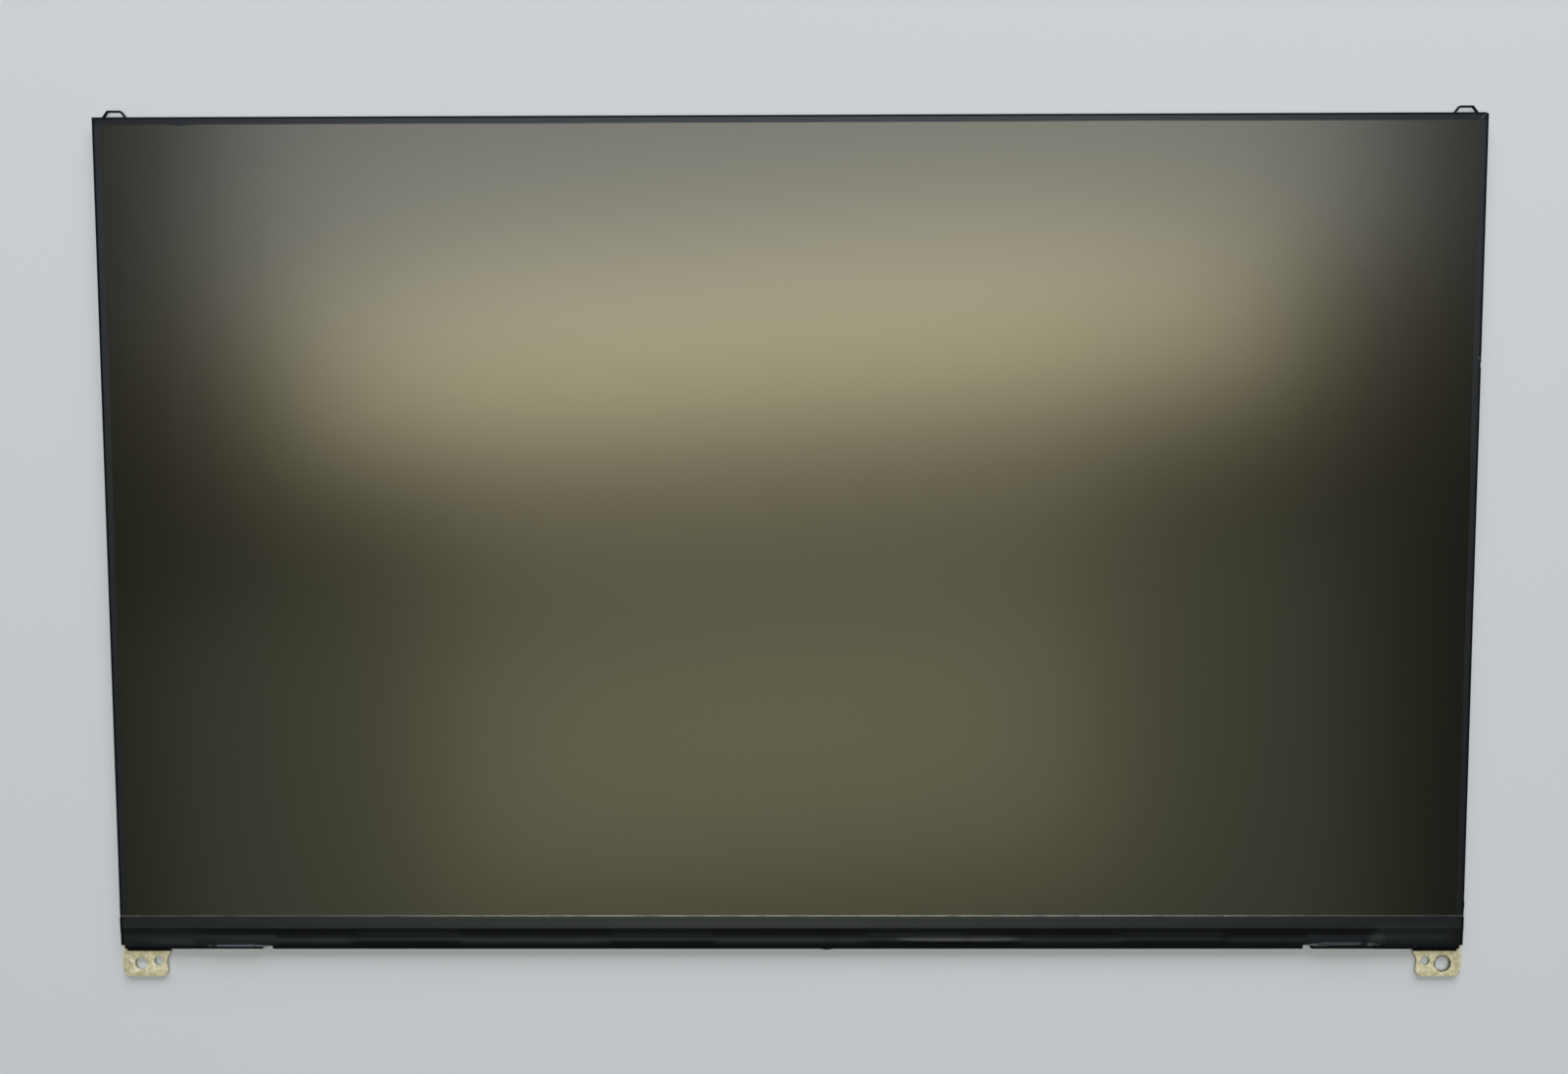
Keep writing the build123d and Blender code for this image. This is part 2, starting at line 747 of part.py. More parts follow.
# Upper hooks: each strap's foot is trapped behind the rim, and its loop stands out of the top edge
strap_line = body_top - plate_thickness - hook_thickness / 2
loop_line = panel_height + hook_rise - hook_thickness / 2
for name, side in (("upper_hook_left", -1), ("upper_hook_right", 1)):
    with BuildPart() as hook:
        with BuildSketch(level(plate_front)):
            with BuildLine():
                FilletPolyline(
                    (side * (hook_x - hook_base / 2 - hook_foot), strap_line),
                    (side * (hook_x - hook_base / 2), strap_line),
                    (side * (hook_x - hook_top / 2), loop_line),
                    (side * (hook_x + hook_top / 2), loop_line),
                    (side * (hook_x + hook_base / 2), strap_line),
                    radius=hook_bend,
                )
            trace(line_width=hook_thickness)
        extrude(amount=hook_height)
    pieces[name] = hook

os.makedirs("parts", exist_ok=True)
for name, piece in pieces.items():
    piece.part.label = name
    export_step(piece.part, f"parts/{name}.step")
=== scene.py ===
"""Looks of the laptop screen panel: its finishes, its folded tapes, and the picture's light.

Blender works in metres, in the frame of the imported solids: +X along the screen, +Y up the
screen and +Z out of its face, with the panel lying on the floor at height 0. Sizes and places
below are in millimetres. A rise is a distance up the screen from the panel's bottom edge.
"""

import math

import bmesh
import bpy
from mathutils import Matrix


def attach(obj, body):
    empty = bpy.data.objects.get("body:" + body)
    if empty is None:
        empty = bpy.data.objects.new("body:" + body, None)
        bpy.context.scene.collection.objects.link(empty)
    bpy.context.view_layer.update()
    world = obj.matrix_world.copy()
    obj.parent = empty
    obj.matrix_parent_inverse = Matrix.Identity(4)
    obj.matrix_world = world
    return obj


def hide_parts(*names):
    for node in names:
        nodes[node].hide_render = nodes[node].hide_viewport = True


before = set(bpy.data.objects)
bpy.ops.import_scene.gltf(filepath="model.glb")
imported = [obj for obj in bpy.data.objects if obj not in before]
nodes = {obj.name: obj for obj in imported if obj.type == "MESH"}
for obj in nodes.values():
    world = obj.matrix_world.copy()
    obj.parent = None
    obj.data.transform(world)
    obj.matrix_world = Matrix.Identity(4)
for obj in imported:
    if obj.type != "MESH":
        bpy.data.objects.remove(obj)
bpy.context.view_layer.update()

MM = 0.001
BOTTOM = -93.8  # Y of the panel's bottom edge
HALF_WIDTH = 157.9
SCREEN = 2.77  # height of the screen's face
FILM_LOW = 8.2  # rise of the screen film's lower edge
CREASE = 137.9  # rise of the pinch in the right tape
WRINKLE = -137.4  # X of the wrinkle in the top tape
NEAR = 0.004  # points closer than this share a place
SHARP = math.radians(40.0)  # edges bent further than this are seen as sharp


def up(rise):
    """The Y of a rise above the panel's bottom edge."""
    return BOTTOM + rise


# Shader sums
class Wire:
    """One output in a finish. A sum on it adds a Math node."""

    def __init__(self, finish, socket):
        self.finish = finish
        self.socket = socket

    def __add__(self, other):
        return self.finish.sum("ADD", self, other)

    def __radd__(self, other):
        return self.finish.sum("ADD", other, self)

    def __sub__(self, other):
        return self.finish.sum("SUBTRACT", self, other)

    def __rsub__(self, other):
        return self.finish.sum("SUBTRACT", other, self)

    def __mul__(self, other):
        return self.finish.sum("MULTIPLY", self, other)

    def __rmul__(self, other):
        return self.finish.sum("MULTIPLY", other, self)


def colour(value):
    """A colour with its alpha, or a link as it is."""
    if isinstance(value, Wire):
        return value
    return (*value, 1.0)


class Finish:
    """A material built from nodes. Grains and places in it are in millimetres."""

    def __init__(self, name):
        self.material = bpy.data.materials.new(name)
        self.material.use_nodes = True
        self.tree = self.material.node_tree
        self.tree.nodes.clear()

    def node(self, kind, settings, sockets, output=0):
        """Adds a node, sets it up, feeds its sockets and gives one of its outputs."""
        made = self.tree.nodes.new(kind)
        for name, value in settings.items():
            setattr(made, name, value)
        for name, value in sockets.items():
            if isinstance(value, Wire):
                self.tree.links.new(value.socket, made.inputs[name])
            else:
                made.inputs[name].default_value = value
        return Wire(self, made.outputs[output]) if made.outputs else None

    def sum(self, operation, first, second=0.0):
        """A Math node on one value or two."""
        return self.node("ShaderNodeMath", {"operation": operation}, {0: first, 1: second})

    def size(self, value):
        """A value without its sign."""
        return self.sum("ABSOLUTE", value)

    def most(self, *values):
        """The greatest of some values."""
        top, *rest = values
        for value in rest:
            top = self.sum("MAXIMUM", top, value)
        return top

    def place(self):
        """The point on the piece, in millimetres."""
        point = self.node("ShaderNodeTexCoord", {}, {}, "Object")
        return self.node("ShaderNodeVectorMath", {"operation": "SCALE"}, {0: point, "Scale": 1 / MM})

    def along(self, axis):
        """One coordinate of the point."""
        return self.node("ShaderNodeSeparateXYZ", {}, {"Vector": self.place()}, axis)

    def turned(self, angle, stretch, centre=(0.0, 0.0, 0.0)):
        """The point seen from a pattern's centre, with the pattern's long side at an angle to X."""
        sockets = {0: self.place(), 1: centre}
        moved = self.node("ShaderNodeVectorMath", {"operation": "SUBTRACT"}, sockets)
        turn = {"Vector": moved, "Rotation": (0.0, 0.0, math.radians(-angle))}
        point = self.node("ShaderNodeMapping", {}, turn)
        return self.node("ShaderNodeVectorMath", {"operation": "DIVIDE"}, {0: point, 1: stretch})

    def noise(self, grain, detail=3.0, point=None):
        """Cloudy noise from 0 to 1, with clouds about a grain across."""
        sockets = {"Vector": point or self.place(), "Scale": 1 / grain, "Detail": detail}
        return self.node("ShaderNodeTexNoise", {}, sockets)

    def specks(self, grain):
        """The distance to scattered points a grain apart, in grains."""
        sockets = {"Vector": self.place(), "Scale": 1 / grain}
        return self.node("ShaderNodeTexVoronoi", {}, sockets, "Distance")

    def rise(self, value, low, high):
        """A smooth rise from 0 to 1 as the value goes from low to high."""
        sockets = {"Value": value, "From Min": low, "From Max": high}
        return self.node("ShaderNodeMapRange", {"interpolation_type": "SMOOTHSTEP"}, sockets)

    def band(self, value, middle, half, soft):
        """1 within half of the middle, falling softly to 0."""
        return 1 - self.rise(self.size(value - middle), half, half + soft)

    def away(self, across, along, long=1.0, short=1.0, angle=0.0):
        """The distance from a place seen from the front, in ovals of a given size."""
        seen = self.turned(angle, (long, short, 1e6), (across, along, 0.0))
        return self.node("ShaderNodeVectorMath", {"operation": "LENGTH"}, {0: seen}, "Value")

    def spot(self, across, along, long, short, angle=0.0):
        """1 in a soft oval patch seen from the front, falling to 0 at its rim."""
        return 1 - self.rise(self.away(across, along, long, short, angle), 0.35, 1.0)

    def stripes(self, pitch, axis):
        """Fine lines across an axis, from 0 to 1."""
        return self.sum("SINE", self.along(axis) * (2 * math.pi / pitch)) * 0.5 + 0.5

    def mix(self, factor, first, second):
        """A colour between two colours."""
        sockets = {0: factor, 6: colour(first), 7: colour(second)}
        return self.node("ShaderNodeMix", {"data_type": "RGBA"}, sockets, 2)

    def bump(self, height, depth, under=None):
        """A normal bent by a height from 0 to 1, as deep as depth."""
        sockets = {"Strength": 1.0, "Distance": depth * MM, "Height": height}
        if under:
            sockets["Normal"] = under
        return self.node("ShaderNodeBump", {}, sockets)

    def surface(self, base, rough, metal=0.0, normal=None, **fixed):
        """A shader, with its fixed sockets set by name."""
        sockets = {"Base Color": colour(base), "Roughness": rough, "Metallic": metal}
        if normal:
            sockets["Normal"] = normal
        for name, value in fixed.items():
            sockets[name.replace("_", " ")] = value
        return self.node("ShaderNodeBsdfPrincipled", {}, sockets)

    def cover(self, surface):
        """The finished material, with a shader over all of it."""
        self.node("ShaderNodeOutputMaterial", {}, {"Surface": surface})
        return self.material

    def done(self, *looks, **fixed):
        """The finished material, from the looks of its one surface."""
        return self.cover(self.surface(*looks, **fixed))


# Finishes of the front
def screen_film():
    """Anti-glare film: nearly black under a soft olive haze."""
    f = Finish("screen_film_haze")
    grain = f.noise(0.16, 2.0)
    cloud = f.noise(30.0)
    base = f.mix(cloud, (0.0010, 0.0011, 0.0009), (0.0014, 0.0015, 0.0012))
    rough = 0.196 + 0.006 * cloud + 0.004 * grain
    haze = (1.0, 0.96, 0.74, 1.0)
    return f.done(base, rough, 0.0, f.bump(grain, 0.0006), IOR=1.65, Specular_Tint=haze)


def black_tape():
    """Thin black film, satin on the flat and dull on the folds, with painted highlights, partly stress
    whitening, along a crease and a mitre, and painted shade dulled into a hollow and a wrinkle's foot.
    """
    f = Finish("black_tape_satin")
    x, y, z = f.along("X"), f.along("Y"), f.along("Z")
    grain = f.noise(0.12)
    waves = f.noise(5.0, 2.0)
    base = f.mix(waves, (0.0040, 0.0046, 0.0055), (0.0060, 0.0068, 0.0080))
    # Painted highlight, partly stress whitening, along the right tape's crease and on the mitre of the
    # top right corner
    strain_and_highlight = f.spot(157.30, up(CREASE + 0.05), 1.30, 0.20, -60.0) * f.rise(f.noise(0.25), 0.30, 0.55)
    mitre_strain_and_highlight = f.spot(156.45, up(191.9), 1.15, 0.20, 41.0) * f.rise(y, up(191.2), up(191.5))
    base = f.mix(f.most(strain_and_highlight, 0.7 * mitre_strain_and_highlight), base, (0.085, 0.088, 0.095))
    # Smoother where the tape hangs slack over the glass ledge
    slack = (1 - f.rise(f.size(x), 134.0, 142.0)) * (1 - f.rise(y, up(4.75), up(5.05)))
    rough = 0.27 + 0.05 * waves + 0.03 * grain - 0.11 * slack
    normal = f.bump(waves, 0.012, f.bump(grain, 0.0012))
    satin = f.surface(base, rough, 0.0, normal, IOR=1.47, Specular_Tint=(0.80, 0.89, 1.0, 1.0))
    dull = f.surface(base, 0.75 + 0.1 * grain, 0.0, normal, Specular_IOR_Level=0.04)
    # Dull on the folds and walls, and dulled as painted shade in the hollow and at the wrinkle's foot
    middle = 1 - f.rise(f.size(x), 120.5, 122.0)
    dull_and_shade = f.most(
        f.rise(f.size(x), 157.15, 157.40),  # side folds
        f.rise(y, up(192.35), up(192.60)),  # top fold
        1 - f.rise(z, 2.22, 2.36),  # walls
        1 - f.rise(y, up(0.30), up(0.70)),  # bottom fold
        middle * (1 - f.rise(y, up(0.50), up(1.90))),  # bend of the middle flap
        0.7 * middle * f.band(y, up(3.75), 0.85, 0.50),  # hollow below the step, dulled as painted shade
        0.35 * f.rise(y, up(191.0), up(191.3)),  # cap of the top tape
        f.spot(WRINKLE - 1.2, up(191.05), 1.5, 0.16, -3.0),  # painted shade of the gap at the wrinkle's foot
    )
    return f.cover(f.node("ShaderNodeMixShader", {}, {0: dull_and_shade, 1: satin, 2: dull}))


def plated_bracket():
    """Steel plated pale yellow, mottled, with bright scuffs beside the screw holes and painted shade
    round the right hole's rim.
    """
    f = Finish("bracket_plating")
    mottle = f.rise(f.noise(0.9, 4.0), 0.32, 0.68)
    grain = f.noise(0.09, 2.0)
    base = f.mix(mottle, (0.56, 0.52, 0.31), (0.76, 0.73, 0.51))
    scuffs = [
        strength * f.spot(across, up(rise), long, short, angle)
        for across, rise, long, short, angle, strength in (
            (-155.9, -3.4, 1.05, 0.22, -32.0, 1.0), (-156.2, -2.2, 0.70, 0.18, -32.0, 0.6),
            (-155.3, -6.0, 0.50, 0.28, -30.0, 0.7), (-152.6, -2.1, 0.40, 0.28, 10.0, 0.5),
            (155.4, -3.4, 1.05, 0.22, 30.0, 1.0), (155.9, -2.2, 0.70, 0.18, 30.0, 0.6),
            (152.3, -1.9, 0.45, 0.26, -25.0, 0.6), (153.5, -6.5, 0.60, 0.26, 10.0, 0.5),
        )
    ]
    fine = f.rise(f.noise(1.0, 3.0, f.turned(25.0, (0.9, 0.07, 1.0))), 0.60, 0.74)
    wear = f.most(0.45 * fine, *scuffs)
    base = f.mix(wear, base, (0.97, 0.96, 0.92))
    # Dark broken ring round the right screw hole: painted shade of the hole's bevelled wall
    hole_rim = f.band(f.away(153.85, up(-4.0)), 1.88, 0.12, 0.08)
    rim_shade = hole_rim * f.rise(f.noise(1.2, 2.0), 0.34, 0.52)
    base = f.mix(0.9 * rim_shade, base, (0.05, 0.045, 0.03))
    rough = 0.42 + 0.14 * mottle + 0.08 * grain
    normal = f.bump(wear, 0.02, f.bump(grain, 0.004))
    return f.done(base, rough, 0.3 - 0.3 * wear, normal)


def cell_glass():
    """Thin glass with the dark printed layer behind it, and a painted highlight line with painted
    glints along the film's lower edge.
    """
    f = Finish("cell_glass_dark")
    cloud = f.noise(9.0)
    # Painted highlight along the film's lower edge, fading towards the sides, broken up, with brighter
    # painted glints at nicks in the edge
    line = f.band(f.along("Y"), up(FILM_LOW - 0.16), 0.11, 0.08)
    middle = 1 - 0.80 * f.rise(f.size(f.along("X") - 10.0), 55.0, 130.0)
    broken = f.rise(f.noise(1.0, 4.0, f.turned(0.0, (3.5, 0.4, 1.0))), 0.36, 0.56)
    edge_highlight = line * middle * (0.45 + 0.55 * broken)
    edge_glints = [
        strength * f.spot(across, up(rise), long, 0.20)
        for across, rise, long, strength in (
            (102.2, 8.00, 0.55, 1.0), (104.4, 8.02, 0.50, 0.4),
            (5.9, 7.95, 0.30, 0.5), (-153.8, 8.0, 0.45, 0.35),
        )
    ]
    base = f.mix(cloud, (0.020, 0.024, 0.024), (0.028, 0.032, 0.031))
    base = f.mix(f.most(edge_highlight, *edge_glints), base, (0.52, 0.50, 0.47))
    return f.done(base, 0.08 + 0.05 * cloud + 0.35 * edge_highlight, IOR=1.52)


def black_hook():
    """Black coated strap, with a little bare metal worn through."""
    f = Finish("hook_coating")
    grain = f.noise(0.14)
    worn = f.rise(f.noise(0.7, 4.0), 0.66, 0.74)
    base = f.mix(worn, (0.0025, 0.0025, 0.003), (0.03, 0.03, 0.03))
    rough = 0.62 + 0.12 * grain - 0.1 * worn
    return f.done(base, rough, 0.4 * worn, f.bump(grain, 0.004), Specular_IOR_Level=0.08)


# Finishes of the back
def rolled_aluminium():
    """Rolled sheet: fine lines along the screen, with faint smudges."""
    f = Finish("plate_rolled")
    lines = f.noise(1.0, 5.0, f.turned(0.0, (24.0, 0.11, 1.0)))
    smudge = f.rise(f.noise(38.0, 4.0), 0.42, 0.70)
    scratch = f.rise(f.noise(1.0, 1.0, f.turned(17.0, (30.0, 0.10, 3.0))), 0.70, 0.76)
    base = f.mix(lines, (0.62, 0.63, 0.645), (0.74, 0.75, 0.76))
    base = f.mix(0.25 * smudge, base, (0.55, 0.56, 0.57))
    rough = 0.30 + 0.14 * lines + 0.10 * smudge - 0.08 * scratch
    return f.done(base, rough, 1.0, f.bump(scratch, -0.004, f.bump(lines, 0.003)))


def white_frame():
    """White moulding with a fine sparked skin."""
    f = Finish("frame_moulding")
    grain = f.noise(0.22, 2.0)
    cloud = f.noise(14.0)
    base = f.mix(cloud, (0.82, 0.82, 0.79), (0.87, 0.87, 0.845))
    return f.done(base, 0.52 + 0.12 * grain, 0.0, f.bump(grain, 0.008))


def cover_film():
    """Black plastic film, embossed with a fine weave."""
    f = Finish("cover_film_embossed")
    weave = f.stripes(0.55, "X") * f.stripes(0.55, "Y")
    cloud = f.noise(11.0)
    base = f.mix(cloud, (0.010, 0.010, 0.011), (0.016, 0.016, 0.018))
    normal = f.bump(cloud, 0.05, f.bump(weave, 0.006))
    return f.done(base, 0.33 + 0.12 * cloud + 0.05 * weave, 0.0, normal)


def plain_steel():
    """Bare steel with turning marks."""
    f = Finish("rivet_turned")
    grain = f.noise(0.10, 4.0)
    base = f.mix(grain, (0.56, 0.55, 0.53), (0.72, 0.71, 0.69))
    return f.done(base, 0.28 + 0.22 * grain, 1.0, f.bump(grain, 0.004))


def tinned_shell():
    """Stamped steel with a tin skin."""
    f = Finish("socket_tin")
    lines = f.noise(1.0, 4.0, f.turned(0.0, (5.0, 0.06, 1.0)))
    spangle = f.noise(0.8)
    base = f.mix(spangle, (0.66, 0.66, 0.65), (0.80, 0.80, 0.79))
    return f.done(base, 0.24 + 0.16 * lines, 1.0, f.bump(lines, 0.002))


def gold_contact():
    """Gold plating, brighter along the worn tips."""
    f = Finish("contact_plating")
    grain = f.noise(0.08)
    worn = f.band(f.along("Y"), up(1.6), 0.3, 0.3)
    base = f.mix(worn, (0.83, 0.62, 0.24), (0.93, 0.77, 0.42))
    return f.done(base, 0.22 + 0.12 * grain - 0.06 * worn, 1.0, f.bump(grain, 0.001))


def ivory_moulding():
    """Ivory moulding with flow marks."""
    f = Finish("socket_moulding")
    flow = f.noise(1.0, 3.0, f.turned(0.0, (3.0, 0.5, 1.0)))
    grain = f.noise(0.07, 2.0)
    base = f.mix(flow, (0.74, 0.69, 0.57), (0.84, 0.80, 0.70))
    return f.done(base, 0.42 + 0.12 * grain, 0.0, f.bump(grain, 0.003))


# Finishes inside
def green_board():
    """Solder mask over traces, with bare pads along the edges."""
    f = Finish("board_mask")
    x, y = f.along("X"), f.along("Y")
    lanes = f.rise(f.stripes(0.62, "Y"), 0.35, 0.65)
    turns = f.rise(f.noise(4.2, 1.0), 0.44, 0.52)
    trace = lanes * turns
    via = 1 - f.rise(f.specks(2.3), 0.10, 0.14)
    pads = f.rise(f.stripes(0.8, "X"), 0.45, 0.60) * f.band(y, up(1.5), 0.55, 0.05)
    weave = f.noise(0.35, 2.0)
    base = f.mix(trace, (0.022, 0.135, 0.072), (0.035, 0.200, 0.105))
    metal = f.most(pads, 0.9 * via)
    base = f.mix(metal, base, (0.80, 0.66, 0.36))
    height = f.most(trace * 0.6, metal)
    rough = 0.34 + 0.10 * weave - 0.05 * metal
    return f.done(base, rough, metal, f.bump(height, 0.02, f.bump(weave, 0.004)))


def amber_flex():
    """Amber film over fine copper lines."""
    f = Finish("flex_copper_lines")
    lines = f.rise(f.stripes(0.12, "X"), 0.40, 0.60)
    cloud = f.noise(3.0)
    base = f.mix(lines, (0.40, 0.21, 0.06), (0.62, 0.40, 0.15))
    base = f.mix(0.3 * cloud, base, (0.30, 0.15, 0.05))
    return f.done(base, 0.24 + 0.10 * cloud, 0.35 * lines, f.bump(lines, 0.004))


def moulded_chip():
    """Black moulded package with a fine sandy skin."""
    f = Finish("chip_moulding")
    sand = f.noise(0.05, 2.0)
    cloud = f.noise(1.6)
    base = f.mix(cloud, (0.030, 0.030, 0.032), (0.050, 0.050, 0.053))
    return f.done(base, 0.50 + 0.16 * sand, 0.0, f.bump(sand, 0.003))


def polished_silicon():
    """Ground silicon, with its saw lines."""
    f = Finish("chip_ground")
    saw = f.noise(1.0, 4.0, f.turned(12.0, (2.0, 0.03, 1.0)))
    base = f.mix(saw, (0.10, 0.10, 0.12), (0.17, 0.17, 0.19))
    return f.done(base, 0.16 + 0.16 * saw, 0.5, f.bump(saw, 0.001))


def pressed_ferrite():
    """Pressed grey powder."""
    f = Finish("ferrite_pressed")
    powder = f.noise(0.09, 4.0)
    base = f.mix(powder, (0.13, 0.13, 0.14), (0.24, 0.24, 0.25))
    return f.done(base, 0.55 + 0.2 * powder, 0.1, f.bump(powder, 0.012))


def tinned_ceramic():
    """Tan ceramic with tinned ends, one every six millimetres along each bank."""
    f = Finish("capacitor_ends")
    pitch = 6.0
    across = f.along("X")
    phase = 4.0 - f.rise(across, -1.0, 1.0)
    turn = f.sum("FLOORED_MODULO", across - phase + pitch / 2, pitch) - pitch / 2
    tin = f.rise(f.size(turn), 0.46, 0.52)
    grain = f.noise(0.10)
    base = f.mix(grain, (0.40, 0.30, 0.20), (0.50, 0.39, 0.27))
    base = f.mix(tin, base, (0.70, 0.70, 0.69))
    return f.done(base, 0.40 + 0.10 * grain - 0.12 * tin, tin, f.bump(grain, 0.004))


def clear_guide():
    """Clear acrylic with rows of printed dots on its back."""
    f = Finish("guide_dots")
    dots = f.stripes(0.9, "X") * f.stripes(0.9, "Y")
    print_dot = f.rise(dots, 0.55, 0.65)
    base = f.mix(print_dot, (0.78, 0.84, 0.85), (0.92, 0.94, 0.94))
    return f.done(base, 0.06 + 0.4 * print_dot, 0.0, f.bump(print_dot, 0.004), IOR=1.49)


def prism_film():
    """Hazy film with fine prisms across the screen."""
    f = Finish("film_prisms")
    prisms = f.stripes(0.10, "Y")
    haze = f.noise(7.0)
    base = f.mix(haze, (0.84, 0.86, 0.87), (0.92, 0.93, 0.94))
    return f.done(base, 0.22 + 0.14 * haze, 0.0, f.bump(prisms, 0.01))


def pearl_reflector():
    """White pearly film."""
    f = Finish("reflector_pearl")
    pearl = f.noise(0.5, 4.0)
    base = f.mix(pearl, (0.90, 0.91, 0.92), (0.96, 0.965, 0.97))
    return f.done(base, 0.24 + 0.14 * pearl, 0.0, f.bump(pearl, 0.002))


def dark_polariser():
    """Dark glossy film on the back of the glass."""
    f = Finish("polariser_dark")
    streak = f.noise(1.0, 3.0, f.turned(0.0, (40.0, 1.2, 1.0)))
    base = f.mix(streak, (0.060, 0.060, 0.068), (0.085, 0.085, 0.095))
    return f.done(base, 0.10 + 0.08 * streak)


def foam_adhesive():
    """Black double-sided tape."""
    f = Finish("rim_foam")
    cells = f.specks(0.12)
    base = f.mix(cells, (0.028, 0.028, 0.028), (0.055, 0.055, 0.055))
    return f.done(base, 0.65 + 0.2 * cells, 0.0, f.bump(cells, 0.008))


def white_strip():
    """White flex with lines of copper under its skin."""
    f = Finish("strip_skin")
    lines = f.rise(f.stripes(0.7, "Y"), 0.45, 0.60)
    cloud = f.noise(2.0)
    base = f.mix(lines, (0.88, 0.88, 0.85), (0.80, 0.78, 0.70))
    return f.done(base, 0.40 + 0.12 * cloud, 0.0, f.bump(lines, 0.008))


def lamp_cream():
    """White lamp bodies with yellow windows towards the guide."""
    f = Finish("led_window")
    window = f.rise(f.along("Y"), up(12.0), up(12.25))
    grain = f.noise(0.08)
    base = f.mix(window, (0.88, 0.87, 0.82), (0.90, 0.74, 0.20))
    return f.done(base, 0.36 + 0.14 * grain, 0.0, f.bump(grain, 0.003))


finishes = {
    "plate_aluminium": rolled_aluminium(),
    "frame_white": white_frame(),
    "screen_film": screen_film(),
    "polariser_film": dark_polariser(),
    "cell_glass": cell_glass(),
    "guide_acrylic": clear_guide(),
    "optical_film": prism_film(),
    "reflector_white": pearl_reflector(),
    "black_tape": black_tape(),
    "cover_film": cover_film(),
    "rim_adhesive": foam_adhesive(),
    "bracket_steel": plated_bracket(),
    "hook_black": black_hook(),
    "rivet_steel": plain_steel(),
    "board_laminate": green_board(),
    "flex_amber": amber_flex(),
    "strip_white": white_strip(),
    "led_cream": lamp_cream(),
    "chip_black": moulded_chip(),
    "chip_silicon": polished_silicon(),
    "ferrite_grey": pressed_ferrite(),
    "capacitor_tan": tinned_ceramic(),
    "socket_ivory": ivory_moulding(),
    "socket_steel": tinned_shell(),
    "contact_gold": gold_contact(),
}
for node in nodes.values():
    node.data.materials[0] = finishes[node.data.materials[0].name]


# Modelling by hand, with places in millimetres
X_AXIS = (1, 0, 0)
Y_AXIS = (0, 1, 0)


def scaled(point):
    """A place in metres."""
    return [part * MM for part in point]


def deselect():
    """Leaves nothing selected."""
    bpy.ops.object.select_all(action="DESELECT")


def flat_grid(name, left, right, low, high, level, columns, rows):
    """Starts a piece as a flat grid between its sides, open for shaping."""
    deselect()
    middle = scaled(((left + right) / 2, (low + high) / 2, level))
    bpy.ops.mesh.primitive_grid_add(
        x_subdivisions=columns, y_subdivisions=rows, size=1.0, location=middle
    )
    piece = bpy.context.object
    piece.name = name
    piece.scale = ((right - left) * MM, (high - low) * MM, 1.0)
    bpy.ops.object.transform_apply(location=True, rotation=True, scale=True)
    bpy.ops.object.mode_set(mode="EDIT")
    return piece


def pick(piece, test, kind="EDGE", sharp=None):
    """Selects the parts whose corners all pass a test on their place."""
    bpy.ops.mesh.select_mode(type=kind)
    bpy.ops.mesh.select_all(action="DESELECT")
    mesh = bmesh.from_edit_mesh(piece.data)
    parts = {"VERT": mesh.verts, "EDGE": mesh.edges, "FACE": mesh.faces}[kind]
    for part in parts:
        corners = [part] if kind == "VERT" else part.verts
        if not all(test(*(corner.co / MM)) for corner in corners):
            continue
        if sharp and (len(part.link_faces) != 2 or part.calc_face_angle() < math.radians(sharp)):
            continue
        part.select_set(True)
    mesh.select_flush_mode()
    bmesh.update_edit_mesh(piece.data)


def pull(offset):
    """Extrudes what is selected."""
    bpy.ops.mesh.extrude_region_move(TRANSFORM_OT_translate={"value": scaled(offset)})


def follow(path):
    """Extrudes what is selected through the points of a path of rises and heights."""
    for (rise, height), (next_rise, next_height) in zip(path, path[1:]):
        pull((0.0, next_rise - rise, next_height - height))


def fold(centre, axis, angle, steps):
    """Turns what is selected about an axis and leaves a rounded fold behind it."""
    turn = -math.radians(angle)
    bpy.ops.mesh.spin(steps=steps, angle=turn, center=scaled(centre), axis=axis)


def cut(point, normal):
    """Adds a line of edges where a plane crosses the piece."""
    bpy.ops.mesh.select_all(action="SELECT")
    bpy.ops.mesh.bisect(plane_co=scaled(point), plane_no=normal)


def add_columns(places):
    """Adds lines of edges up the piece at some places along the screen."""
    for across in places:
        cut((across, 0.0, 0.0), X_AXIS)


def ease(piece, test, offset, reach, falloff="SMOOTH"):
    """Moves the points that pass a test, and draws those within reach along with them."""
    pick(piece, test, "VERT")
    bpy.ops.transform.translate(
        value=scaled(offset),
        use_proportional_edit=True,
        proportional_edit_falloff=falloff,
        proportional_size=reach * MM,
    )


def ease_inner_edge(piece, held, test, offset, reach):
    """Moves the inner edge of a tape, with its fold, its wall and its rear held still."""
    pick(piece, lambda x, y, z: held(x, y, z) or z < FRONT - 0.05, "VERT")
    bpy.ops.mesh.hide(unselected=False)
    ease(piece, test, offset, reach)
    bpy.ops.mesh.reveal(select=False)


def near(across, rise, reach, height, slack):
    """A test for the points close to a place seen from the front, about at a height."""

    def test(x, y, z):
        return abs(z - height) < slack and math.hypot(x - across, y - up(rise)) < reach

    return test


def change(piece, name, kind, **settings):
    """Adds a modifier and applies it."""
    modifier = piece.modifiers.new(name, kind)
    for setting, value in settings.items():
        setattr(modifier, setting, value)
    bpy.ops.object.modifier_apply(modifier=name)


def ripple(piece, grain, height):
    """Gives a piece slow ripples of a height."""
    clouds = bpy.data.textures.new(piece.name + "_ripple", "CLOUDS")
    clouds.noise_scale = grain * MM
    change(
        piece, "ripple", "DISPLACE",
        texture=clouds, texture_coords="LOCAL", strength=height * MM, direction="NORMAL",
    )


def hand_over(piece, slot, *replaced):
    """Gives a finished piece its finish and its place on the panel."""
    if bpy.context.mode != "OBJECT":
        bpy.ops.object.mode_set(mode="OBJECT")
    bpy.ops.object.shade_smooth_by_angle(angle=SHARP)
    piece.data.materials.clear()
    piece.data.materials.append(finishes[slot])
    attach(piece, "root")
    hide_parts(*replaced)


